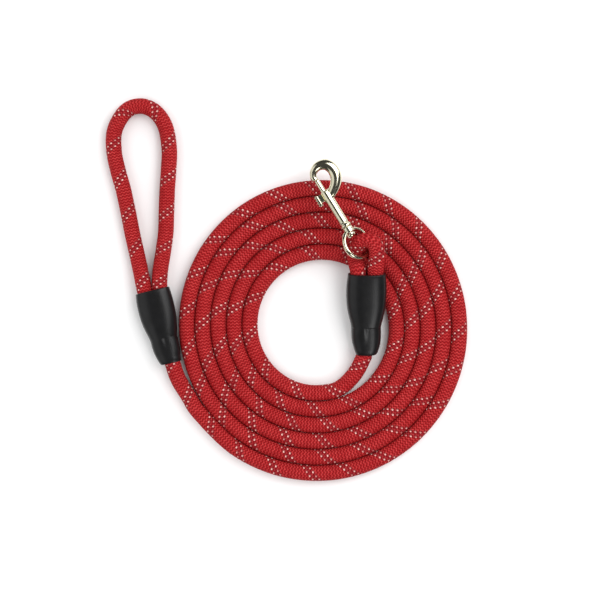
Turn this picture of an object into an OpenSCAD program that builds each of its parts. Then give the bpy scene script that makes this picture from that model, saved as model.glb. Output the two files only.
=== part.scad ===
// Training leash, coiled flat: one round braided rope with a hand loop at one
// end and a small loop at the other, a moulded cover over each join, and a
// swivel bolt snap. Millimetres, +Z up, resting on z = 0. The origin is under
// the middle of the leash without its free rope.

/* [Rope] */
// Diameter of the braided rope
rope_d = 12; // [11.6:0.1:12]
// Height of the middle of the rope where it lies flat
rope_z = 6; // [6:0.1:6.5]

/* [Coil] */
// Outer radius of the coil's solid
coil_outer = 116; // [114:0.5:116]
// Inner radius of the coil's solid
coil_inner = 51; // [50:0.5:53]

/* [Covers] */
// Length of the moulded cover at the snap
hook_cover_len = 65.4; // [64:0.2:66]
// Length of the moulded cover at the hand loop
handle_cover_len = 59.8; // [58:0.2:61]
// Distance between the two runs of rope inside a cover
run_gap = 13; // [12.6:0.1:13.2]
// Thickness of the steel band under a cover
band_t = 0.9; // [0.6:0.1:1.1]
// Width of the steel band under a cover
band_w = 12; // [8:1:14]

/* [Swivel eye] */
// Radius of the eye at the middle of its wire
eye_r = 11.8; // [11.6:0.1:12]
// Diameter of the eye's wire
eye_wire = 3.6; // [3:0.1:3.8]
// Lean of the eye about the snap's own axis
eye_lean = 36.7; // [35:0.1:39]

/* [Bolt snap] */
// Outer diameter of the barrel
barrel_d = 7.8; // [7.6:0.1:8.2]
// Diameter of the sliding bolt
bolt_d = 4.4; // [4:0.1:4.4]
// Running clearance round the bolt and the stem, on the radius
running = 0.06; // [0.03:0.01:0.1]
// Travel of the bolt
stroke = 9.6; // [8:0.1:9.6]
// Wire of the bolt's spring
spring_wire = 0.5; // [0.4:0.05:0.5]
// Turns of the bolt's spring
spring_turns = 9; // [8:1:10]

/* [Hidden] */
$fn = 48;

rope_r = rope_d / 2;
rope_sides = 12;

// Colours
rope_red = [0.72, 0.11, 0.15];
cover_black = [0.13, 0.13, 0.13];
band_steel = [0.70, 0.70, 0.72];
plated = [0.86, 0.84, 0.74];

// Places of the two covers: the middle of the lower end, the tilt up from
// level, the turn from +Y, the length and where the free rope leaves
handle_place = [[-60.3, -105.2, 8.8], 0, 13.9];
snap_place = [[96, -97.7, 8.6], 12.6, 0];
handle_exit_x = 2;
snap_exit_x = -1.2;

// A cover's outline at its nominal length: height along it, left edge, right
// edge and half thickness. The step is between the seventh and eighth lines.
cover_len = 64;
cover_max_half = 9.2;
cover_sections = [
    [0, -7.2, 7.4, 6.9],
    [0.7, -8.2, 8.4, 7.6],
    [3, -9.2, 9.5, 8],
    [7, -10.4, 10.6, 8],
    [11, -11.3, 11.2, 8],
    [17, -11.8, 11.4, 8],
    [22, -11.9, 11.2, 8],
    [22.3, -12, 11.4, 8.9],
    [26, -12.7, 12.2, 9.1],
    [31, -14, 13.4, 9.2],
    [38, -15.3, 14.7, 9.2],
    [46, -15.9, 15.3, 9.2],
    [55, -15.7, 15.3, 9.2],
    [62.6, -14.8, 14.8, 9.1],
    [63.7, -14.4, 14.5, 8.6],
    [64, -13.8, 13.9, 8]
];
cover_sides = 32;
cover_roundness = 2.6;

// Inside a cover, along it at its nominal length
fork_at = 41;
tail_from = 39;
band_from = 46;

// The hand loop, from the cover's left run round to its right run
loop_route = [
    [-84, -32, 7.6], [-87.5, -16.5, 6.4], [-91, -1, 6], [-94.3, 16, 6],
    [-98, 33, 6], [-102.4, 49, 6], [-105.6, 65, 6], [-104.8, 81.5, 6],
    [-96.2, 96, 6], [-84.5, 100.3, 6], [-73, 96, 6], [-64.6, 84, 6],
    [-61.4, 66, 6], [-61.9, 49, 6], [-63, 33, 6], [-63.6, 16, 6],
    [-64.2, -1, 6], [-66.2, -16.5, 6.4], [-68.4, -31.5, 7.6]
];

// The small loop that holds the swivel eye, from the right run to the left
eye_route = [
    [103.5, -25, 27], [104, -17.5, 30.5], [102, -11, 32.5], [97, -7.5, 32.5],
    [91.5, -8.5, 30], [88, -13, 25.5], [86.5, -19.5, 21.5], [88, -26.5, 21]
];
// Rope radius on the loop's legs, and how much it is squeezed in the eye
leg_r = 6.2;
squeeze = 0.6;
squeeze_at = 0.55;
squeeze_width = 0.18;

// The free rope's two ends, from each cover to the coil
start_route = [[-54.3, -117.5, 7.4], [-46, -131.5, 6], [-36, -146, 6], [-26, -157, 6]];
end_route = [[92.4, -104, 7.8], [88.4, -111.6, 6.6], [83.5, -118, 6], [76.5, -124, 6], [67, -127.8, 6]];

// The coil's solid is not quite concentric, as the turns draw inwards
coil_outer_at = [62.9, -79.5];
coil_inner_at = [59, -74];

// The snap's frame: +Y along it from the eye to the hook, +X towards the
// hook's back, its origin on the plane where the eye meets the barrel
snap_turn = 32;
snap_rise = 2.5;
eye_at = [87.8, -10.1, 29];
eye_back = 15.1;
boss_r = 4.3;
boss_len = 5.4;
stem_r = 2.2;
head_r = 3.5;
head_from = -6;
head_to = -9.4;
play = 0.2;
flange_r = 4.7;
flange_t = 1.5;
barrel_r = barrel_d / 2;
barrel_top = 33.2;
bolt_x = -0.9;
bolt_r = bolt_d / 2;
bore_from = 6;
bolt_from = 22;
bolt_to = 43.8;
knob_w = 2.4;
knob_low = 26.2;
knob_high = 32.2;
pad_low = 23.8;
pad_high = 33;
pad_in = -6.8;
pad_out = -10;
pad_half = 2.8;
// Steps of the pad's rounded edges: how far out, and how far in from its sides
pad_rows = [[-6.8, 0.5], [-7.2, 0], [-9.2, 0.3], [-9.6, 0.7], [-10, 0]];

// The hook, from its nose round its back to the barrel: place across and
// along, width in its plane and depth
hook_route = [
    [-1.6, 44, 5.2, 4.8], [-1.5, 47, 5.3, 5], [0.9, 50.4, 5.9, 5.4],
    [6.1, 52.2, 7.4, 6.2], [12, 50, 8.7, 6.8], [14.5, 44.4, 9, 7],
    [13.8, 38.3, 9, 7], [10.5, 33.2, 8.5, 7], [5.6, 29.4, 7.8, 6.8],
    [0.8, 26.8, 6.4, 6]
];
hook_sides = 20;
hook_steps = 4;
hook_roundness = 2.3;

// ---------------------------------------------------------------- functions

function unit(v) = v / norm(v);

function mixed(a, b, c, d, t) =
    0.5 * (2 * b + (c - a) * t + (2 * a - 5 * b + 4 * c - d) * t * t
    + (3 * b - a - 3 * c + d) * t * t * t);

// A smooth curve through every point, with steps pieces between two of them
function smooth(p, steps) =
    let (last = len(p) - 1)
    let (q = concat([2 * p[0] - p[1]], p, [2 * p[last] - p[last - 1]]))
    concat(
        [for (i = [1 : last], k = [0 : steps - 1])
            mixed(q[i - 1], q[i], q[i + 1], q[i + 2], k / steps)],
        [p[last]]
    );

// The same points, each drawn towards its neighbours, which rounds the tightest bends
function eased(p, passes) =
    let (last = len(p) - 1)
    passes == 0 ? p : eased(
        [for (i = [0 : last]) i == 0 || i == last ? p[i] : (p[i - 1] + 2 * p[i] + p[i + 1]) / 4],
        passes - 1
    );

function heading(p, i) = unit(p[min(i + 1, len(p) - 1)] - p[max(i - 1, 0)]);

function power(v, n) = sign(v) * pow(abs(v), n);

// Points round p, a across and b along the other way, round when n is 2
function section(p, across, other, a, b, n, sides) = [
    for (k = [0 : sides - 1])
        let (angle = 360 * k / sides)
            p + a * power(cos(angle), 2 / n) * across + b * power(sin(angle), 2 / n) * other
];

// Rings of a round tube along p, whose radius at each point is in r
function tube_rings(p, r, sides, ref = [0, 0, 1]) = [
    for (i = [0 : len(p) - 1])
        let (t = heading(p, i), across = unit(cross(t, ref)))
            section(p[i], across, cross(across, t), r[i], r[i], 2, sides)
];

function same(value, p) = [for (i = [0 : len(p) - 1]) value];

// A point of a cover's own frame, in the frame of the leash
function placed(place, p) =
    let (tilt = place[1], turn = place[2])
    let (y = p[1] * cos(tilt) - p[2] * sin(tilt))
    let (z = p[1] * sin(tilt) + p[2] * cos(tilt))
    place[0] + [p[0] * cos(turn) - y * sin(turn), p[0] * sin(turn) + y * cos(turn), z];

// The rope's two runs inside a cover: the cut end, and the run that leaves
function tail_run(place, size) = [
    for (y = [tail_from, 52, cover_len]) placed(place, [-run_gap / 2, y, 0] * size)
];
function through_run(place, size, exit_x) = [
    for (p = [[run_gap / 2, cover_len, 0], [run_gap / 2, 52, 0], [run_gap / 2 - 0.3, fork_at, 0],
        [run_gap / 4 + exit_x / 2, fork_at / 2, 0], [exit_x, 0, 0]])
        placed(place, p * size)
];

handle_size = handle_cover_len / cover_len;
snap_size = hook_cover_len / cover_len;

hand_loop_path = smooth(concat(
    tail_run(handle_place, handle_size), loop_route,
    through_run(handle_place, handle_size, handle_exit_x)
), 2);
snap_loop_path = eased(smooth(concat(
    [for (i = [4 : -1 : 0]) through_run(snap_place, snap_size, snap_exit_x)[i]],
    eye_route,
    [for (i = [2 : -1 : 0]) tail_run(snap_place, snap_size)[i]]
), 3), 2);

// ------------------------------------------------------------------ modules

// Closed solid over a row of rings that all have the same number of points
module skin(rings) {
    n = len(rings[0]);
    m = len(rings);
    walls = [
        for (i = [0 : m - 2], k = [0 : n - 1])
            let (a = i * n + k, b = i * n + (k + 1) % n)
            each [[a, b, b + n], [a, b + n, a + n]]
    ];
    first = [[for (k = [n - 1 : -1 : 0]) k]];
    last = [[for (k = [0 : n - 1]) (m - 1) * n + k]];
    points = [for (ring = rings) each ring];
    polyhedron(points = points, faces = concat(walls, first, last), convexity = 10);
}

module tube(p, r, sides, ref = [0, 0, 1]) {
    skin(tube_rings(p, is_list(r) ? r : same(r, p), sides, ref));
}

module at_place(place) {
    translate(place[0]) rotate([0, 0, place[2]]) rotate([place[1], 0, 0]) children();
}

module at_snap() {
    snap_dir = [-sin(snap_turn) * cos(snap_rise), cos(snap_turn) * cos(snap_rise), sin(snap_rise)];
    translate(eye_at + eye_back * snap_dir)
        rotate([0, 0, snap_turn]) rotate([snap_rise, 0, 0]) children();
}

// Stands a shape that is made along +Z along +Y instead
module along_y() {
    rotate([-90, 0, 0]) children();
}

// Flat outline with round ends, of two circles a distance apart
module stadium(apart, r) {
    square([apart, 2 * r], center = true);
    for (side = [-1, 1]) translate([side * apart / 2, 0]) circle(r = r);
}

module hand_loop() {
    color(rope_red) tube(hand_loop_path, rope_r, rope_sides);
}

module free_rope_start() {
    color(rope_red) tube(smooth(concat(
        [placed(handle_place, [handle_exit_x, 0, 0] * handle_size)], start_route
    ), 2), rope_r, rope_sides);
}

module rope_coil() {
    color(rope_red) difference() {
        translate(coil_outer_at) rotate_extrude($fn = 120) {
            square([coil_outer - rope_z, 2 * rope_z]);
            translate([coil_outer - rope_z, rope_z]) circle(r = rope_z);
        }
        translate([coil_inner_at[0], coil_inner_at[1], 0]) rotate_extrude($fn = 96) difference() {
            translate([0, -1]) square([coil_inner + rope_z, 2 * rope_z + 2]);
            translate([coil_inner + rope_z, rope_z]) circle(r = rope_z);
        }
    }
}

module free_rope_end() {
    color(rope_red) tube(smooth(concat(
        [placed(snap_place, [snap_exit_x, 0, 0] * snap_size)], end_route
    ), 2), rope_r, rope_sides);
}

module snap_loop() {
    p = snap_loop_path;
    last = len(p) - 1;
    first_leg = 13;
    last_leg = last - 7;
    radii = [for (i = [0 : last])
        let (along = (i - first_leg) / (last_leg - first_leg))
        let (near = exp(-pow((along - squeeze_at) / squeeze_width, 2)))
        i < first_leg || i > last_leg ? rope_r : leg_r - squeeze * near];
    color(rope_red) tube(p, radii, rope_sides);
}

// A moulded cover: one shell over both runs, thinner past its step
module cover(size, exit_x) {
    across = [1, 0, 0];
    rings = [for (s = cover_sections)
        section([(s[1] + s[2]) / 2, s[0], 0], across, [0, 0, 1],
            (s[2] - s[1]) / 2, s[3], cover_roundness, cover_sides)];
    color(cover_black) scale(size) difference() {
        skin(rings);
        // both runs, from where the cut end stops to the open end
        translate([0, tail_from, 0]) along_y() linear_extrude(cover_len)
            stadium(run_gap, rope_r / size + 0.05);
        // the steel band's seat
        translate([0, band_from, 0]) along_y() linear_extrude(band_w / size)
            stadium(run_gap, (rope_r + band_t) / size + 0.1);
        // the single run to the lower end
        lean = atan((run_gap / 2 - exit_x) / fork_at);
        translate([exit_x, 0, 0]) rotate([0, 0, -lean]) translate([0, -2, 0])
            along_y() cylinder(r = rope_r / size + 0.4, h = fork_at + 3);
    }
}

module band(size) {
    color(band_steel) translate([0, (band_from + 0.2) * size, 0]) along_y()
        linear_extrude(band_w - 0.4) difference() {
            stadium(run_gap * size, rope_r + band_t);
            stadium(run_gap * size, rope_r + 0.05);
        }
}

module handle_cover() {
    at_place(handle_place) cover(handle_size, handle_exit_x);
}

module handle_band() {
    at_place(handle_place) band(handle_size);
}

module snap_cover() {
    at_place(snap_place) cover(snap_size, snap_exit_x);
}

module snap_band() {
    at_place(snap_place) band(snap_size);
}

// Round eye with a boss, leaning about the snap's axis
module swivel_eye() {
    color(plated) at_snap() rotate([0, eye_lean, 0]) difference() {
        union() {
            translate([0, -eye_back, 0]) rotate_extrude($fn = 96)
                translate([eye_r, 0]) circle(d = eye_wire);
            translate([0, -boss_len, 0]) along_y() cylinder(r = boss_r, h = boss_len);
        }
        translate([0, -boss_len - 2, 0]) along_y()
            cylinder(r = stem_r + running, h = boss_len + 4);
    }
}

module snap_body() {
    rings = [for (i = [0 : len(hook_path) - 1])
        let (t = heading(hook_line, i), h = hook_path[i])
            section(hook_line[i], cross(t, [0, 0, 1]), [0, 0, 1],
                h[2] / 2, h[3] / 2, hook_roundness, hook_sides)];
    color(plated) at_snap() difference() {
        union() {
            skin(rings);
            along_y() rotate_extrude() polygon([
                [0, head_to], [head_r - 1.4, head_to], [head_r - 0.3, head_to + 1],
                [head_r, head_to + 2.2], [head_r, head_from], [stem_r, head_from],
                [stem_r, play], [flange_r, play], [flange_r, flange_t],
                [barrel_r, flange_t + 2.4], [barrel_r, barrel_top - 0.8],
                [barrel_r - 0.8, barrel_top], [0, barrel_top]
            ]);
        }
        translate([bolt_x, bore_from, 0]) along_y()
            cylinder(r = bolt_r + running, h = barrel_top - bore_from + 5);
        translate([bolt_x - 6, knob_low - stroke - 0.2, -knob_w / 2 - 0.2])
            cube([6, knob_high - knob_low + stroke + 0.4, knob_w + 0.4]);
    }
}
hook_path = smooth(hook_route, hook_steps);
hook_line = [for (h = hook_path) [h[0], h[1], 0]];

module bolt() {
    color(plated) at_snap() difference() {
        translate([bolt_x, 0, 0]) along_y() rotate_extrude() polygon([
            [0, bolt_from], [bolt_r, bolt_from], [bolt_r, bolt_to - 0.7],
            [bolt_r - 0.7, bolt_to], [0, bolt_to]
        ]);
        translate([bolt_x - 3, knob_low, -knob_w / 2])
            cube([4, knob_high - knob_low, knob_w]);
    }
}

module thumb_knob() {
    color(plated) at_snap() {
        translate([pad_in, knob_low, -knob_w / 2])
            cube([bolt_x + 1 - pad_in, knob_high - knob_low, knob_w]);
        for (row = [0 : len(pad_rows) - 2]) {
            low = pad_rows[row];
            high = pad_rows[row + 1];
            translate([high[0], pad_low + low[1], low[1] - pad_half])
                cube([low[0] - high[0], pad_high - pad_low - 2 * low[1], 2 * (pad_half - low[1])]);
        }
    }
}

module bolt_spring() {
    steps = 12 * spring_turns;
    r = bolt_r - spring_wire / 2 - 0.15;
    low = bore_from + spring_wire / 2 + 0.05;
    high = bolt_from - spring_wire / 2 - 0.05;
    helix = [for (i = [0 : steps])
        let (angle = 30 * i)
            [bolt_x + r * cos(angle), low + (high - low) * i / steps, r * sin(angle)]];
    color(band_steel) at_snap() tube(helix, spring_wire / 2, 6, [0, 1, 0]);
}

hand_loop();
free_rope_start();
rope_coil();
free_rope_end();
snap_loop();
handle_cover();
handle_band();
snap_cover();
snap_band();
swivel_eye();
snap_body();
bolt();
thumb_knob();
bolt_spring();
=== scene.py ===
import math

import bmesh
import bpy
import numpy as np
from mathutils import Matrix, Vector


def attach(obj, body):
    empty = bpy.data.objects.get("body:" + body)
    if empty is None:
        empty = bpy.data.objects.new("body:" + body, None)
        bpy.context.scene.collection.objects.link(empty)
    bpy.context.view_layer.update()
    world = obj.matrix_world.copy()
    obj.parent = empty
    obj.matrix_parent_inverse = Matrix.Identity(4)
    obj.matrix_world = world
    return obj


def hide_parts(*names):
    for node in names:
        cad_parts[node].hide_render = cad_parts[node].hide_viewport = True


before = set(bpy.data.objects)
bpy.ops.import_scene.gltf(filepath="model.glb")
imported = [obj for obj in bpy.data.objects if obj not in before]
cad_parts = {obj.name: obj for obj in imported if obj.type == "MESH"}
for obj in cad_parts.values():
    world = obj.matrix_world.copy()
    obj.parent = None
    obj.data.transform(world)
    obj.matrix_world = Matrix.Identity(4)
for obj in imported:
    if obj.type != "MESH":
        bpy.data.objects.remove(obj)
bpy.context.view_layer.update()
MM = 0.001

# ------------------------------------------------------------------ camera

camera = bpy.data.objects.new("camera", bpy.data.cameras.new("camera"))
bpy.context.scene.collection.objects.link(camera)
camera.data.lens = 100
camera.data.sensor_width = 36
camera.data.clip_start = 0.05
camera.data.clip_end = 20
camera.location = (0.0432, -0.0548, 1.339)
bpy.context.scene.camera = camera

# ------------------------------------------------------------- rope routes
# The same routes as the model's solids, in millimetres here and turned to
# metres where a mesh is made.

COVER_LEN = 64.0
HANDLE_AT, HANDLE_TURN, HANDLE_SIZE = np.array([-60.3, -105.2, 8.8]), 13.9, 59.8 / COVER_LEN
SNAP_AT, SNAP_TILT, SNAP_SIZE = np.array([96.0, -97.7, 8.6]), 12.6, 65.4 / COVER_LEN
RUN_GAP = 13.0
FORK = 41.0
HANDLE_EXIT, SNAP_EXIT = 2.0, -1.2
JOIN = 8.0  # how far up inside a cover the free rope's mesh starts
ROPE_R = 6.0


def turned(p, degrees, axis):
    """Points turned about X, Y or Z."""
    return np.asarray(p, float) @ np.array(Matrix.Rotation(math.radians(degrees), 3, axis)).T


def handle_point(p):
    return HANDLE_AT + turned(np.asarray(p, float) * HANDLE_SIZE, HANDLE_TURN, "Z")


def snap_point(p):
    return SNAP_AT + turned(np.asarray(p, float) * SNAP_SIZE, SNAP_TILT, "X")


def tail_run(place):
    return [place([-RUN_GAP / 2, y, 0]) for y in (39, 52, COVER_LEN)]


def through_run(place, exit_x, end=0.0):
    points = [
        (RUN_GAP / 2, COVER_LEN), (RUN_GAP / 2, 52), (RUN_GAP / 2 - 0.3, FORK),
        (RUN_GAP / 4 + exit_x / 2, FORK / 2), (exit_x, end),
    ]
    return [place([x, y, 0]) for x, y in points]


LOOP_ROUTE = [
    (-84, -32, 7.6), (-87.5, -16.5, 6.4), (-91, -1, 6), (-94.3, 16, 6),
    (-98, 33, 6), (-102.4, 49, 6), (-105.6, 65, 6), (-104.8, 81.5, 6),
    (-96.2, 96, 6), (-84.5, 100.3, 6), (-73, 96, 6), (-64.6, 84, 6),
    (-61.4, 66, 6), (-61.9, 49, 6), (-63, 33, 6), (-63.6, 16, 6),
    (-64.2, -1, 6), (-66.2, -16.5, 6.4), (-68.4, -31.5, 7.6),
]
EYE_ROUTE = [
    (103.5, -25, 27), (104, -17.5, 30.5), (102, -11, 32.5), (97, -7.5, 32.5),
    (91.5, -8.5, 30), (88, -13, 25.5), (86.5, -19.5, 21.5), (88, -26.5, 21),
]
# The coil's turns, from the outside in
COIL_AT, COIL_R, COIL_PITCH, COIL_SQUEEZE = np.array([58.5, -76.0]), 117.2, 12.8, 0.984
COIL_FROM, COIL_TO, COIL_POINTS = -0.15, 5.03, 98


def coil_point(turns):
    angle = math.radians(-90 + 360 * turns)
    r = COIL_R - COIL_PITCH * turns
    return (
        COIL_AT[0] + COIL_SQUEEZE * r * math.cos(angle), COIL_AT[1] + r * math.sin(angle), 6,
    )


FREE_ROUTE = [tuple(handle_point((HANDLE_EXIT, y, 0))) for y in (JOIN, 0)]
FREE_ROUTE += [(-54.3, -117.5, 7.4), (-46, -131.5, 6)]
FREE_ROUTE += [coil_point(t) for t in np.linspace(COIL_FROM, COIL_TO, COIL_POINTS)]
FREE_ROUTE += [(77, -124, 6), (83.5, -118, 6), (88.4, -111.6, 6.6), (92.4, -104, 7.8)]
FREE_ROUTE += [tuple(snap_point((SNAP_EXIT, y, 0))) for y in (0, JOIN)]

# ---------------------------------------------------------- curves and frames


def smooth(points, steps=12):
    """A smooth curve through every point, in however many numbers a point has."""
    p = np.array(points, float)
    q = np.vstack([2 * p[0] - p[1], p, 2 * p[-1] - p[-2]])
    out = []
    for i in range(1, len(q) - 2):
        a, b, c, d = q[i - 1 : i + 3]
        for t in np.arange(steps) / steps:
            out.append(0.5 * (
                2 * b + (c - a) * t + (2 * a - 5 * b + 4 * c - d) * t**2
                + (3 * b - a - 3 * c + d) * t**3
            ))
    return np.vstack([out, p[-1]])


def eased(points, passes):
    """The points, each drawn towards its neighbours, which rounds the tightest bends."""
    for _ in range(passes):
        points = np.vstack([
            points[:1], (points[:-2] + 2 * points[1:-1] + points[2:]) / 4, points[-1:]])
    return points


def lengths(points):
    return np.r_[0, np.cumsum(np.linalg.norm(np.diff(points[:, :3], axis=0), axis=1))]


def evenly(points, step):
    """Points the same distance apart along a line, and how far along it each is."""
    s = lengths(points)
    at = np.linspace(0, s[-1], max(2, round(s[-1] / step)) + 1)
    return np.column_stack([np.interp(at, s, column) for column in points.T]), at


def unit(v):
    return v / np.linalg.norm(v, axis=-1, keepdims=True)


def frames(path, start=(0, 0, 1)):
    """Tangent and two normals at each point, carried along without twist."""
    t = unit(np.gradient(path, axis=0))
    n = np.empty_like(t)
    n[0] = unit(np.array(start) - t[0] * np.dot(start, t[0]))
    for i in range(1, len(t)):
        n[i] = unit(n[i - 1] - t[i] * np.dot(n[i - 1], t[i]))
    return t, n, np.cross(t, n)


def ease(x, low, high):
    """0 below low, 1 above high and a soft step between."""
    t = np.clip((np.asarray(x, float) - low) / (high - low), 0, 1)
    return t * t * (3 - 2 * t)


# --------------------------------------------------------------- materials


class Paint:
    """A material and short ways to make its nodes."""

    def __init__(self, name):
        self.material = bpy.data.materials.new(name)
        self.material.use_nodes = True
        self.tree = self.material.node_tree
        self.shader = self.tree.nodes["Principled BSDF"]

    def node(self, kind, **inputs):
        node = self.tree.nodes.new(kind)
        for key, value in inputs.items():
            self.put(node.inputs[key.replace("_", " ")], value)
        return node

    def put(self, socket, value):
        if isinstance(value, bpy.types.NodeSocket):
            self.tree.links.new(value, socket)
        else:
            socket.default_value = value

    def math(self, op, *values):
        node = self.tree.nodes.new("ShaderNodeMath")
        node.operation = op
        for socket, value in zip(node.inputs, values):
            self.put(socket, value)
        return node.outputs[0]

    def mix(self, factor, a, b):
        node = self.tree.nodes.new("ShaderNodeMix")
        node.data_type = "RGBA"
        self.put(node.inputs[0], factor)
        self.put(node.inputs[6], a)
        self.put(node.inputs[7], b)
        return node.outputs[2]

    def pick(self, choice, yes, no):
        """One number where choice is 1 and another where it is 0."""
        back = self.math("SUBTRACT", 1.0, choice)
        return self.math("MULTIPLY_ADD", choice, yes, self.math("MULTIPLY", back, no))

    def span(self, value, low, high, to_low=0.0, to_high=1.0):
        node = self.tree.nodes.new("ShaderNodeMapRange")
        for socket, v in zip(node.inputs, (value, low, high, to_low, to_high)):
            self.put(socket, v)
        return node.outputs[0]

    def noise(self, vector, scale, detail=3.0, roughness=0.5):
        node = self.node("ShaderNodeTexNoise", Scale=scale, Detail=detail, Roughness=roughness)
        self.put(node.inputs["Vector"], vector)
        return node.outputs["Fac"]

    def bump(self, height, distance, strength=1.0):
        node = self.node("ShaderNodeBump", Strength=strength, Distance=distance, Height=height)
        return node.outputs[0]

    def scaled(self, vector, scale):
        node = self.tree.nodes.new("ShaderNodeMapping")
        self.put(node.inputs["Vector"], vector)
        node.inputs["Scale"].default_value = scale
        return node.outputs[0]

    def place(self):
        return self.tree.nodes.new("ShaderNodeTexCoord").outputs["Object"]

    def set(self, **inputs):
        for key, value in inputs.items():
            self.put(self.shader.inputs[key.replace("_", " ")], value)


def srgb(r, g, b):
    def one(c):
        c /= 255
        return c / 12.92 if c <= 0.04045 else ((c + 0.055) / 1.055) ** 2.4
    return (one(r), one(g), one(b), 1)


# The braid: each strand goes over one and under one. Strands that run one way
# are counted by u and those that run the other way by v, and at crossing i, j
# the first stands on top where i - j is even.
STRANDS = 12  # each way round the rope
LEAD = 30.3  # of one strand, in millimetres
TRACERS = (0.0, 2.0)  # the pale strands, among those counted by v
BAND_HALF = 1.5  # half the width, in strands, of the duller red round the pale strands
BAND_FROM = 3.0  # strands added to a count so that the band doesn't wrap past 0
FLOAT = 0.5  # how far a strand rises and falls along itself, against its own roundness
ROUND = 0.5
HALF = 0.52  # of a strand's width, in pitches


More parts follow.
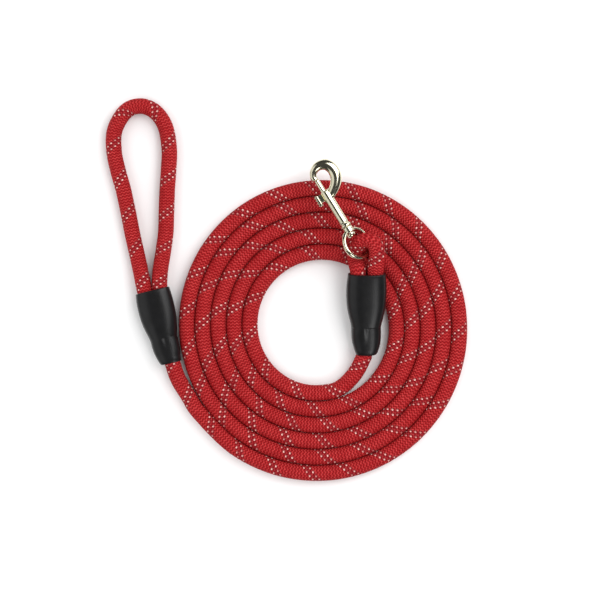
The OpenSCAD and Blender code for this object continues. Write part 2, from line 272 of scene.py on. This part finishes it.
def rope_paint():
    m = Paint("braided_rope")
    uv = m.node("ShaderNodeUVMap")
    uv.uv_map = "round_and_along"
    split = m.node("ShaderNodeSeparateXYZ")
    m.put(split.inputs[0], uv.outputs[0])
    a = m.math("MULTIPLY", split.outputs[0], float(STRANDS))
    b = m.math("MULTIPLY", split.outputs[1], float(STRANDS))
    u, v = m.math("ADD", a, b), m.math("SUBTRACT", a, b)
    i, j = m.math("ROUND", u), m.math("ROUND", v)
    du, dv = m.math("SUBTRACT", u, i), m.math("SUBTRACT", v, j)

    def strand(across, along):
        """A strand's round section here, and its rise over the others."""
        q = m.math("MULTIPLY", across, 1 / HALF)
        section = m.math("SQRT", m.math("MULTIPLY_ADD", m.math("MULTIPLY", q, q), -1.0, 1.0))
        return section, m.math("COSINE", m.math("MULTIPLY", along, math.pi))

    sa, wa = strand(du, m.math("SUBTRACT", v, i))
    sb, wb = strand(dv, m.math("SUBTRACT", u, j))
    ha = m.math("MULTIPLY_ADD", wa, FLOAT, m.math("MULTIPLY", sa, ROUND))
    hb = m.math("MULTIPLY_ADD", wb, -FLOAT, m.math("MULTIPLY", sb, ROUND))
    first = m.math("GREATER_THAN", ha, hb)
    height = m.math("MAXIMUM", ha, hb)
    across, along = m.pick(first, du, dv), m.pick(first, v, u)
    number = m.pick(first, i, m.math("ADD", j, 40.5))  # no two strands share one
    # two ends side by side in each strand, one painted darker as if in shade and the other as if
    # lit, and the fine yarns in them
    groove = m.span(m.math("ABSOLUTE", across), 0.0, 0.13)
    lit_end = m.span(across, -0.08, 0.08)
    join = m.node("ShaderNodeCombineXYZ")
    m.put(join.inputs[0], m.math("MULTIPLY", across, 14.0))
    m.put(join.inputs[1], m.math("MULTIPLY", along, 1.0))
    m.put(join.inputs[2], m.math("MULTIPLY", number, 3.7))
    yarn = m.noise(join.outputs[0], 1.0, 2.0, 0.6)
    fibre = m.noise(m.scaled(join.outputs[0], (4, 2, 1)), 1.0, 3.0, 0.7)
    # from strand to strand, from crossing to crossing, and slow over the whole rope
    chance = m.node("ShaderNodeTexWhiteNoise")
    chance.noise_dimensions = "1D"
    m.put(chance.inputs["W"], number)
    crossing = m.node("ShaderNodeCombineXYZ")
    m.put(crossing.inputs[0], i)
    m.put(crossing.inputs[1], j)
    float_chance = m.node("ShaderNodeTexWhiteNoise")
    float_chance.noise_dimensions = "2D"
    m.put(float_chance.inputs["Vector"], crossing.outputs[0])
    slow = m.noise(m.place(), 55.0, 2.0)
    patch = m.noise(m.place(), 420.0, 2.0, 0.6)

    # The first of these colours is painted shade, for the low gaps between the strands
    deep, red, bright_yarn_sheen = srgb(70, 0, 3), srgb(208, 48, 52), srgb(238, 108, 104)
    # yarn by yarn from red to a pinker tone, partly the yarns' own colour and partly a painted
    # sheen on the strands' tops
    top = m.mix(m.span(yarn, 0.4, 0.7, 0.0, 0.7), red, bright_yarn_sheen)
    top = m.mix(m.span(chance.outputs[0], 0, 1, 0.0, 0.25), top, srgb(150, 10, 20))
    top = m.mix(m.span(float_chance.outputs[0], 0, 1, 0.0, 0.3), top, srgb(140, 6, 16))
    top = m.mix(m.span(slow, 0.35, 0.7, 0.0, 0.18), top, srgb(150, 12, 22))
    top = m.mix(m.span(patch, 0.5, 0.75, 0.0, 0.35), top, srgb(120, 6, 14))
    # painted shade down the groove between a strand's two ends
    top = m.mix(m.span(groove, 0, 1, 0.45, 0.0), top, srgb(140, 2, 12))
    # painted shade on the end of each strand that lies away from the light
    top = m.mix(m.span(lit_end, 0, 1, 0.78, 0.0), top, srgb(138, 0, 8))
    # painted shade: where the braid stands low, between the strands, the colour goes to the deep
    # red
    colour = m.mix(m.span(height, 0.2, 0.68), deep, top)
    # the red round the pale strands is duller, from one strand before them to one after
    band = m.math("FLOORED_MODULO", m.math("ADD", v, BAND_FROM), float(STRANDS))
    dull = m.math("COMPARE", band, BAND_FROM + sum(TRACERS) / 2, BAND_HALF)
    colour = m.mix(m.math("MULTIPLY", dull, 0.3), colour, srgb(92, 16, 30))
    # the pale strands themselves, seen where they pass over
    count = m.math("FLOORED_MODULO", j, float(STRANDS))
    second = m.math("SUBTRACT", 1.0, first)
    tracer = m.math("ADD", *[m.math("COMPARE", count, t, 0.3) for t in TRACERS])
    tracer = m.math("MULTIPLY", m.math("MULTIPLY", tracer, second), m.span(height, 0.58, 0.8))
    # the pale strands take the same painted shade on the end away from the light
    tracer = m.math("MULTIPLY", tracer, m.span(lit_end, 0, 1, 0.2, 1.0))
    tracer = m.math("MULTIPLY", tracer, m.span(float_chance.outputs[0], 0, 0.7, 0.4, 1.0))
    pale = m.mix(m.span(yarn, 0.3, 0.6), srgb(240, 168, 160), srgb(255, 216, 205))
    colour = m.mix(tracer, colour, pale)
    shade = m.mix(m.span(fibre, 0.35, 0.8, 0.0, 0.2), colour, (0.03, 0.001, 0.002, 1))
    surface = m.math("MULTIPLY_ADD", yarn, 0.14, height)
    surface = m.math("MULTIPLY_ADD", fibre, 0.07, surface)
    surface = m.math("MULTIPLY_ADD", groove, 0.18, surface)
    m.set(
        Base_Color=shade, Roughness=m.span(fibre, 0.2, 0.8, 0.5, 0.7),
        Normal=m.bump(surface, 0.0005, 0.9), Specular_IOR_Level=0.05,
    )
    return m.material


def moulded_paint():
    m = Paint("black_moulding")
    place = m.place()
    grain = m.noise(place, 2600.0, 3.0, 0.6)
    mottle = m.noise(place, 160.0, 3.0, 0.55)
    scuff = m.noise(m.scaled(place, (300, 60, 300)), 1.0, 5.0, 0.7)
    colour = m.mix(m.span(mottle, 0.3, 0.7), srgb(19, 19, 20), srgb(25, 25, 26))
    colour = m.mix(m.span(scuff, 0.62, 0.78, 0.0, 0.3), colour, srgb(48, 47, 47))
    rough = m.span(m.math("MULTIPLY_ADD", scuff, 0.7, grain), 0.5, 1.2, 0.26, 0.34)
    height = m.math("MULTIPLY_ADD", mottle, 0.5, grain)
    m.set(Base_Color=colour, Roughness=rough, Normal=m.bump(height, 0.00005, 0.6),
          Specular_IOR_Level=0.34)
    return m.material


def plated_paint(name="plated_zinc", tone=(0.84, 0.80, 0.60)):
    m = Paint(name)
    place = m.place()
    cast = m.noise(place, 330.0, 3.0, 0.5)
    fine = m.noise(place, 3200.0, 2.0, 0.5)
    dull = m.noise(place, 150.0, 4.0, 0.6)
    colour = m.mix(m.span(dull, 0.35, 0.7), (*tone, 1), (*[c * 0.86 for c in tone], 1))
    rough = m.math("MULTIPLY_ADD", fine, 0.05, m.span(dull, 0.3, 0.75, 0.09, 0.17))
    m.set(Base_Color=colour, Metallic=1.0, Roughness=rough,
          Normal=m.bump(m.math("MULTIPLY_ADD", fine, 0.12, cast), 0.00006, 0.2))
    return m.material


def steel_paint(name="drawn_steel", tone=(0.56, 0.56, 0.58)):
    m = Paint(name)
    place = m.place()
    drawn = m.noise(m.scaled(place, (1500, 1500, 260)), 1.0, 4.0, 0.65)
    tint = m.noise(place, 200.0, 3.0)
    colour = m.mix(m.span(tint, 0.35, 0.7), (*tone, 1), (*[c * 0.7 for c in tone], 1))
    m.set(Base_Color=colour, Metallic=1.0, Roughness=m.span(drawn, 0.3, 0.7, 0.25, 0.42),
          Normal=m.bump(drawn, 0.00005, 0.5))
    return m.material


ROPE, COVER, PLATED, STEEL = rope_paint(), moulded_paint(), plated_paint(), steel_paint()
for node, paint in {
    "handle_band": STEEL, "snap_band": STEEL, "bolt_spring": STEEL, "bolt": PLATED,
}.items():
    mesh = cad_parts[node].data
    mesh.materials.clear()
    mesh.materials.append(paint)

# ------------------------------------------------------------------ meshes


def skin(rings):
    """Faces of a closed tube over rings, whose points are listed ring by ring."""
    m, n = len(rings), len(rings[0])
    row = np.arange(m - 1)[:, None] * n
    col = np.arange(n)[None, :]
    nxt = (col + 1) % n
    quads = np.stack([row + col, row + nxt, row + nxt + n, row + col + n], -1).reshape(-1, 4)
    return quads, list(range(n))[::-1], [(m - 1) * n + c for c in range(n)]


def skin_mesh(name, rings):
    """A closed mesh over rings of points in millimetres."""
    rings = np.asarray(rings, float)
    quads, first, last = skin(rings)
    loops = np.concatenate([quads.ravel(), first, last]).astype(np.int32)
    sizes = np.r_[np.full(len(quads), 4), len(first), len(last)]
    mesh = bpy.data.meshes.new(name)
    mesh.vertices.add(rings.shape[0] * rings.shape[1])
    mesh.vertices.foreach_set("co", (rings * MM).ravel())
    mesh.loops.add(len(loops))
    mesh.loops.foreach_set("vertex_index", loops)
    mesh.polygons.add(len(sizes))
    mesh.polygons.foreach_set("loop_start", np.r_[0, np.cumsum(sizes)[:-1]].astype(np.int32))
    mesh.update(calc_edges=True)
    return mesh


def finish_piece(name, mesh, paint, body, slot, *replaced, crease=None):
    mesh.name = name
    mesh.polygons.foreach_set("use_smooth", [True] * len(mesh.polygons))
    if crease:
        mesh.set_sharp_from_angle(angle=math.radians(crease))
    mesh.materials.clear()
    mesh.materials.append(paint)
    piece = bpy.data.objects.new(name, mesh)
    bpy.context.scene.collection.objects.link(piece)
    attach(piece, body)
    if replaced:
        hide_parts(*replaced)
    return piece


def joined(*meshes):
    """One mesh of several, as separate shells."""
    bm = bmesh.new()
    for mesh in meshes:
        bm.from_mesh(mesh)
    out = bpy.data.meshes.new("joined")
    bm.to_mesh(out)
    bm.free()
    return out


def modified(mesh, *modifiers):
    """A mesh after some modifiers, each a kind and its settings."""
    ob = bpy.data.objects.new("work", mesh)
    bpy.context.scene.collection.objects.link(ob)
    for kind, settings in modifiers:
        modifier = ob.modifiers.new(kind, kind)
        for key, value in settings.items():
            setattr(modifier, key, value)
    depsgraph = bpy.context.evaluated_depsgraph_get()
    out = bpy.data.meshes.new_from_object(ob.evaluated_get(depsgraph))
    bpy.data.objects.remove(ob)
    return out


def cut(mesh, *cutters):
    """A mesh with closed meshes taken out of it."""
    for cutter in cutters:
        ob = bpy.data.objects.new("cutter", cutter)
        bpy.context.scene.collection.objects.link(ob)
        settings = {"object": ob, "operation": "DIFFERENCE", "solver": "EXACT"}
        mesh = modified(mesh, ("BOOLEAN", settings))
        bpy.data.objects.remove(ob)
    return mesh


def cast(mesh, voxel, softness):
    """Shells run into one skin with softened corners, as a casting has."""
    return modified(
        mesh, ("REMESH", {"mode": "VOXEL", "voxel_size": voxel * MM}),
        ("SMOOTH", {"factor": 0.5, "iterations": softness}),
    )


# ------------------------------------------------------------------- ropes


def braid_height(u, v):
    """How high the braid stands, from 0 to 1, at places counted in strands each way."""
    i, j = np.round(u), np.round(v)
    ha = ROUND * np.sqrt(1 - ((u - i) / HALF) ** 2) + FLOAT * np.cos(math.pi * (v - i))
    hb = ROUND * np.sqrt(1 - ((v - j) / HALF) ** 2) - FLOAT * np.cos(math.pi * (u - j))
    return np.clip(np.maximum(ha, hb), 0, 1)


PROUD = 0.26  # of the strands' tops over the rope's nominal radius
PROUD_IN_COIL = 0.35  # where the turns of the coil press on each other
RELIEF = 0.4  # from the strands' tops down to the gaps between them


def drift(s):
    """Turns of the free rope's strands ahead of an even lead, as coiling twists a rope."""
    return 0.4 + 0.28 * (1 - ease(s, 200, 1300)) + 1.03 * np.clip((s - 1690) / 975, 0, 1)


def rope(
    name, line, body, *replaced, around=48, per_lead=96, start=0.0, lead=LEAD, proud=PROUD,
):
    """A braided rope, every strand in its surface. A line's fourth number is the rope's radius.

    start is the strands' first turn round the rope, or a function of the distance along it.
    """
    path, at = evenly(line, lead / per_lead)
    path, radius = path[:, :3], path[:, 3]
    t, n, b = frames(path)
    k = np.arange(around) / around
    turn = (at / lead + (start(at) if callable(start) else start))[:, None]
    high = braid_height(STRANDS * (k + turn), STRANDS * (k - turn))
    r = radius[:, None] + proud + RELIEF * (high - 0.9)
    angle = 2 * math.pi * k[None, :, None]
    ring = np.cos(angle) * n[:, None, :] + np.sin(angle) * b[:, None, :]
    mesh = skin_mesh(name, path[:, None, :] + r[:, :, None] * ring)
    rings = len(at)
    k0 = np.broadcast_to(k, (rings - 1, around))
    k1 = k0 + 1 / around
    t0, t1 = [np.broadcast_to(part, (rings - 1, around)) for part in (turn[:-1], turn[1:])]
    corners = [np.stack(pair, -1) for pair in ((k0, t0), (k1, t0), (k1, t1), (k0, t1))]
    uv = np.vstack([np.stack(corners, 2).reshape(-1, 2), np.zeros((2 * around, 2))])
    mesh.uv_layers.new(name="round_and_along").data.foreach_set("uv", uv.astype(np.float32).ravel())
    return finish_piece(name, mesh, ROPE, body, "rope", *replaced), path, at


def with_radius(points, radius=ROPE_R):
    return np.column_stack([points, np.broadcast_to(radius, len(points))])


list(rope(
    "free_rope", with_radius(smooth(FREE_ROUTE)), "leash",
    "free_rope_start", "rope_coil", "free_rope_end", start=drift, proud=PROUD_IN_COIL,
))

hand_route = tail_run(handle_point) + LOOP_ROUTE
hand_route += through_run(handle_point, HANDLE_EXIT, JOIN)
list(rope(
    "hand_loop_rope", with_radius(smooth(hand_route)), "leash", "hand_loop",
    around=60, start=0.78, lead=28.0,
))


# The small loop's radius, and how much, where and over how much of it the eye squeezes it
LEG_R, SQUEEZE, SQUEEZE_AT, SQUEEZE_WIDTH = 6.2, 0.6, 0.55, 0.18
FIRST_LEG, LAST_LEG = 13, 38  # the points between which the loop is out of its cover


def eye_line():
    """The small loop's line, with the rope squeezed where it passes through the swivel's eye."""
    route = through_run(snap_point, SNAP_EXIT)[::-1] + EYE_ROUTE + tail_run(snap_point)[::-1]
    p = eased(smooth(route, 3), 2)
    i = np.arange(len(p))
    near = np.exp(-(((i - FIRST_LEG) / (LAST_LEG - FIRST_LEG) - SQUEEZE_AT) / SQUEEZE_WIDTH) ** 2)
    on_loop = (i >= FIRST_LEG) & (i <= LAST_LEG)
    radius = np.where(on_loop, LEG_R - SQUEEZE * near, ROPE_R)
    inside = lengths(p) >= JOIN
    return smooth(with_radius(p, radius)[inside], 6)


rope("snap_loop_rope", eye_line(), "leash", "snap_loop", around=96, start=0.7)

# ------------------------------------------------------------------ covers
# A cover's outline at its nominal length: height along it, left edge, right
# edge and half thickness. The step is between LOWER and UPPER.

LOWER = [
    (0, -7.2, 7.4, 6.9), (0.7, -8.2, 8.4, 7.6), (3, -9.2, 9.5, 8), (7, -10.4, 10.6, 8),
    (11, -11.3, 11.2, 8), (17, -11.8, 11.4, 8), (22, -11.9, 11.2, 8),
]
UPPER = [
    (22.3, -12, 11.4, 8.9), (26, -12.7, 12.2, 9.1), (31, -14, 13.4, 9.2), (38, -15.3, 14.7, 9.2),
    (46, -15.9, 15.3, 9.2), (55, -15.7, 15.3, 9.2), (62.6, -14.8, 14.8, 9.1),
    (63.7, -14.4, 14.5, 8.6), (64, -13.8, 13.9, 8),
]
COVER_SIDES = 112
COVER_ROUND = 2.6
STEP = 0.9  # how far the upper part stands over the lower at the step
MOUTH = 5.0  # how far a mouth can be seen into
AIR = 0.24  # between the rope and the cover's mouths
WALL = 0.6
# How far in from a mouth's end, and how much wider than the bore the mouth is there
MOUTH_ROWS = [(0, 0.25), (0.08, 0.1), (0.35, 0), (MOUTH, 0)]
STEP_CORNER, CORNER_LIP = (22.02, -11.93, 11.3, 8.55), 0.35


def powered(value, n):
    return np.sign(value) * np.abs(value) ** (2 / n)


def cover_ring(row, lip):
    """One outline. The step dies away towards the left, where lip is 0 the surface runs on."""
    y, left, right, thick = row
    angle = 2 * math.pi * np.arange(COVER_SIDES) / COVER_SIDES
    c, s = powered(np.cos(angle), COVER_ROUND), powered(np.sin(angle), COVER_ROUND)
    plain = 1 - ease(c, -0.12, 0.08)
    half = thick + lip * plain
    x = (left + right) / 2 + (right - left) / 2 * c
    return np.column_stack([x, np.full(len(c), y), half * s])


def round_ring(x, y, r):
    angle = 2 * math.pi * np.arange(COVER_SIDES) / COVER_SIDES
    return np.column_stack([x + r * np.cos(angle), np.full(len(angle), y), r * np.sin(angle)])


def stadium_ring(y, r):
    """Round both runs of rope: two half circles and two straight sides."""
    angle = 2 * math.pi * np.arange(COVER_SIDES) / COVER_SIDES
    c, s = np.cos(angle), np.sin(angle)
    out = np.clip(np.abs(c) - 0.5, 0, None) / 0.5
    x = RUN_GAP / 2 * np.clip(c / 0.5, -1, 1) + r * np.sign(c) * out
    return np.column_stack([x, np.full(len(c), y), r * np.sign(s) * np.sqrt(1 - out**2)])


def moulded_cover(name, place, size, exit_x, node):
    hole = (ROPE_R + PROUD + AIR) / size
    rows = [round_ring(exit_x, y, hole + more) for y, more in MOUTH_ROWS[::-1]]
    for y, left, right, thick in smooth(LOWER, 6):
        if y < 7:  # the wall stays whole round the mouth
            edge = hole + WALL + 0.5 * ease(y, 0, 3)
            left, right = min(left, exit_x - edge), max(right, exit_x + edge)
            thick = max(thick, edge - 0.2)
        rows.append(cover_ring((y, left, right, thick), STEP * ease(y, 8, 22.4)))
    rows.append(cover_ring(STEP_CORNER, CORNER_LIP))
    rows += [cover_ring(row, 0) for row in smooth(UPPER, 6)]
    rows += [stadium_ring(COVER_LEN - y, hole + more) for y, more in MOUTH_ROWS]
    rings = [place(ring)[::-1] for ring in rows]
    finish_piece(name, skin_mesh(name, rings), COVER, "leash", "cover", node, crease=50)


moulded_cover("handle_cover_moulding", handle_point, HANDLE_SIZE, HANDLE_EXIT, "handle_cover")
moulded_cover("snap_cover_moulding", snap_point, SNAP_SIZE, SNAP_EXIT, "snap_cover")

# -------------------------------------------------------------------- snap
# The snap's own frame: +Y along it from the eye to the hook, +X towards the
# hook's back, its origin on the plane where the eye meets the barrel.

SNAP_TURN, SNAP_RISE, EYE_LEAN = 32.0, 2.5, 36.7
EYE_AT, EYE_BACK, EYE_R, EYE_WIRE = np.array([87.8, -10.1, 29.0]), 15.1, 11.8, 3.6
BOLT_X, BOLT_R, STEM_R = -0.9, 2.2, 2.2
RUNNING = 0.06  # clearance round the bolt and the stem
BARREL_TOP = 33.2


def at_snap(p):
    back = turned(turned((0, EYE_BACK, 0), SNAP_RISE, "X"), SNAP_TURN, "Z")
    return EYE_AT + back + turned(turned(p, SNAP_RISE, "X"), SNAP_TURN, "Z")


def at_eye(p):
    return at_snap(turned(p, EYE_LEAN, "Y"))


def lathe(place, profile, x=0.0, sides=72):
    """A turned shape about a line along Y, from its radius and height at each corner."""
    angle = 2 * math.pi * np.arange(sides) / sides
    rings = [np.column_stack([x + r * np.sin(angle), np.full(sides, y), r * np.cos(angle)])
             for r, y in profile]
    return skin_mesh("turned", [place(ring) for ring in rings])


# The hook's middle line, with its width and its depth at each point
HOOK_ROUTE = [
    (-1.6, 44, 5.2, 4.8), (-1.5, 47, 5.3, 5), (0.9, 50.4, 5.9, 5.4), (6.1, 52.2, 7.4, 6.2),
    (12, 50, 8.7, 6.8), (14.5, 44.4, 9, 7), (13.8, 38.3, 9, 7), (10.5, 33.2, 8.5, 7),
    (5.6, 29.4, 7.8, 6.8), (0.8, 26.8, 6.4, 6),
]


def hook_mesh(sides=56, roundness=2.2):
    row = smooth(HOOK_ROUTE, 10)
    line = np.column_stack([row[:, :2], np.zeros(len(row))])
    t = unit(np.gradient(line, axis=0))
    across = np.cross(t, (0, 0, 1))
    angle = 2 * math.pi * np.arange(sides) / sides
    c, s = powered(np.cos(angle), roundness), powered(np.sin(angle), roundness)
    up = np.array([0, 0, 1])
    rings = [
        at_snap(centre + wide / 2 * c[:, None] * side + deep / 2 * s[:, None] * up)
        for centre, side, wide, deep in zip(line, across, row[:, 2], row[:, 3])
    ]
    return skin_mesh("hook", rings)


def box_mesh(place, low, high, edge=0.0):
    """A box with rounded edges."""
    bm = bmesh.new()
    bmesh.ops.create_cube(bm, size=1)
    low, high = np.array(low, float), np.array(high, float)
    for vert in bm.verts:
        vert.co = Vector((low + high) / 2 + np.array(vert.co) * (high - low))
    if edge:
        bmesh.ops.bevel(
            bm, geom=bm.edges[:], offset=edge, segments=4, profile=0.5, affect="EDGES",
        )
    for vert in bm.verts:
        vert.co = Vector(place(np.array(vert.co)) * MM)
    bmesh.ops.recalc_face_normals(bm, faces=bm.faces[:])
    mesh = bpy.data.meshes.new("box")
    bm.to_mesh(mesh)
    bm.free()
    return mesh


def snap_casting():
    """Barrel and hook in one, bored and slotted for the bolt, with the stem in the eye."""
    barrel = lathe(at_snap, [
        (0.4, 0.25), (4.2, 0.25), (4.7, 0.7), (4.7, 1.9), (4.2, 2.5), (3.7, 3), (3.7, 3.6),
        (3.9, 4.1), (3.9, 32.3), (3.2, BARREL_TOP), (0.4, BARREL_TOP),
    ])
    solid = cast(joined(barrel, hook_mesh()), 0.22, 4)
    bore_r = BOLT_R + RUNNING
    bore = lathe(at_snap, [(0.05, 6), (bore_r, 6), (bore_r, 38), (0.05, 38)], BOLT_X)
    slot = box_mesh(at_snap, (-7, 16.4, -1.4), (-0.9, 32.4, 1.4))
    stem = lathe(at_snap, [
        (0.4, -9.4), (2.1, -9.4), (3.2, -8.4), (3.5, -7.2), (3.5, -6), (STEM_R, -6),
        (STEM_R, 1), (0.4, 1),
    ])
    return joined(cut(solid, bore, slot), stem)


def eye_casting():
    """A ring of round wire with a boss, bored for the stem."""
    sides, rounds = 32, 160
    angle = 2 * math.pi * np.arange(sides) / sides
    turn = 2 * math.pi * np.arange(rounds) / rounds
    r = EYE_R + EYE_WIRE / 2 * np.cos(angle)[None, :]
    ring = np.stack([
        r * np.sin(turn)[:, None], r * np.cos(turn)[:, None] - EYE_BACK,
        np.broadcast_to(EYE_WIRE / 2 * np.sin(angle), (rounds, sides)),
    ], -1)
    bm = bmesh.new()
    verts = [[bm.verts.new(Vector(at_eye(p) * MM)) for p in row] for row in ring]
    for a in range(rounds):
        for b in range(sides):
            c, d = (a + 1) % rounds, (b + 1) % sides
            bm.faces.new((verts[a][b], verts[a][d], verts[c][d], verts[c][b]))
    bmesh.ops.recalc_face_normals(bm, faces=bm.faces[:])
    wire = bpy.data.meshes.new("wire")
    bm.to_mesh(wire)
    bm.free()
    boss = lathe(at_eye, [(0.4, -5.4), (3.7, -5.4), (4.3, -4.7), (4.3, -0.5), (3.9, 0), (0.4, 0)])
    bore_r = STEM_R + RUNNING
    bore = lathe(at_eye, [(0.05, -7), (bore_r, -7), (bore_r, 2), (0.05, 2)])
    return cut(cast(joined(wire, boss), 0.2, 3), bore)


def thumb_pad():
    """A ribbed plate on a post that runs in the barrel's slot."""
    post = box_mesh(at_snap, (-7.2, 26.2, -1.2), (0.1, 32.2, 1.2), 0.2)
    plate = box_mesh(at_snap, (-9.3, 23.8, -2.8), (-6.8, 33, 2.8), 0.6)
    ribs = [
        box_mesh(at_snap, (-10, y, -2.3), (-8.6, y + 1, 2.3), 0.35)
        for y in (24.5, 26.7, 28.9, 31.1)
    ]
    return joined(post, plate, *ribs)


finish_piece("snap_casting", snap_casting(), PLATED, "snap", "plated", "snap_body", crease=40)
finish_piece("eye_casting", eye_casting(), PLATED, "eye", "plated", "swivel_eye", crease=40)
finish_piece("thumb_pad", thumb_pad(), PLATED, "plunger", "plated", "thumb_knob", crease=40)

# ------------------------------------------------------------------- stage

FLOOR_HALF = 4.0
FLOOR_Z = -0.0005  # under the strands that stand proud of the rope's radius
MIDDLE = Vector((0.04, -0.05, 0))  # of the object, on the floor

floor = bpy.data.objects.new("floor", bpy.data.meshes.new("floor"))
corners = [(x * FLOOR_HALF, y * FLOOR_HALF, 0) for x, y in ((-1, -1), (1, -1), (1, 1), (-1, 1))]
floor.data.from_pydata(corners, [], [(0, 1, 2, 3)])
floor.location.z = FLOOR_Z
bpy.context.scene.collection.objects.link(floor)
paper = Paint("paper")
paper.set(Base_Color=(0.94, 0.94, 0.94, 1), Roughness=0.8)
floor.data.materials.append(paper.material)


def lamp(name, azimuth, from_top, distance, size, brightness):
    """A soft box aimed at the middle of the object, from an azimuth counted from +X."""
    light = bpy.data.lights.new(name, "AREA")
    light.shape = "RECTANGLE"
    light.size, light.size_y = size
    light.energy = brightness * math.pi * size[0] * size[1]
    a, e = math.radians(azimuth), math.radians(from_top)
    away = Vector((math.cos(a) * math.sin(e), math.sin(a) * math.sin(e), math.cos(e)))
    ob = bpy.data.objects.new(name, light)
    ob.location = MIDDLE + distance * away
    ob.rotation_euler = (-away).to_track_quat("-Z", "Y").to_euler()
    bpy.context.scene.collection.objects.link(ob)


ROOM_LIGHT, ROOM_IN_METAL = 0.68, 0.05

# Soft boxes round the object, and an even room light that polished metal sees as dim
lamp("key", 38, 42, 1.7, (0.8, 1.8), 3.8)
lamp("side", -55, 43, 1.7, (0.6, 0.7), 4.2)
lamp("fill", 180, 52, 1.6, (2.2, 1.7), 0.8)
world = bpy.data.worlds.new("world")
bpy.context.scene.world = world
world.use_nodes = True
sky = world.node_tree
room = sky.nodes["Background"]
room.inputs["Color"].default_value = (1, 1, 1, 1)
by_ray = sky.nodes.new("ShaderNodeMapRange")
by_ray.inputs["To Min"].default_value = ROOM_LIGHT
by_ray.inputs["To Max"].default_value = ROOM_IN_METAL
sky.links.new(sky.nodes.new("ShaderNodeLightPath").outputs["Is Glossy Ray"], by_ray.inputs["Value"])
sky.links.new(by_ray.outputs[0], room.inputs["Strength"])
bpy.context.scene.view_settings.view_transform = "Standard"
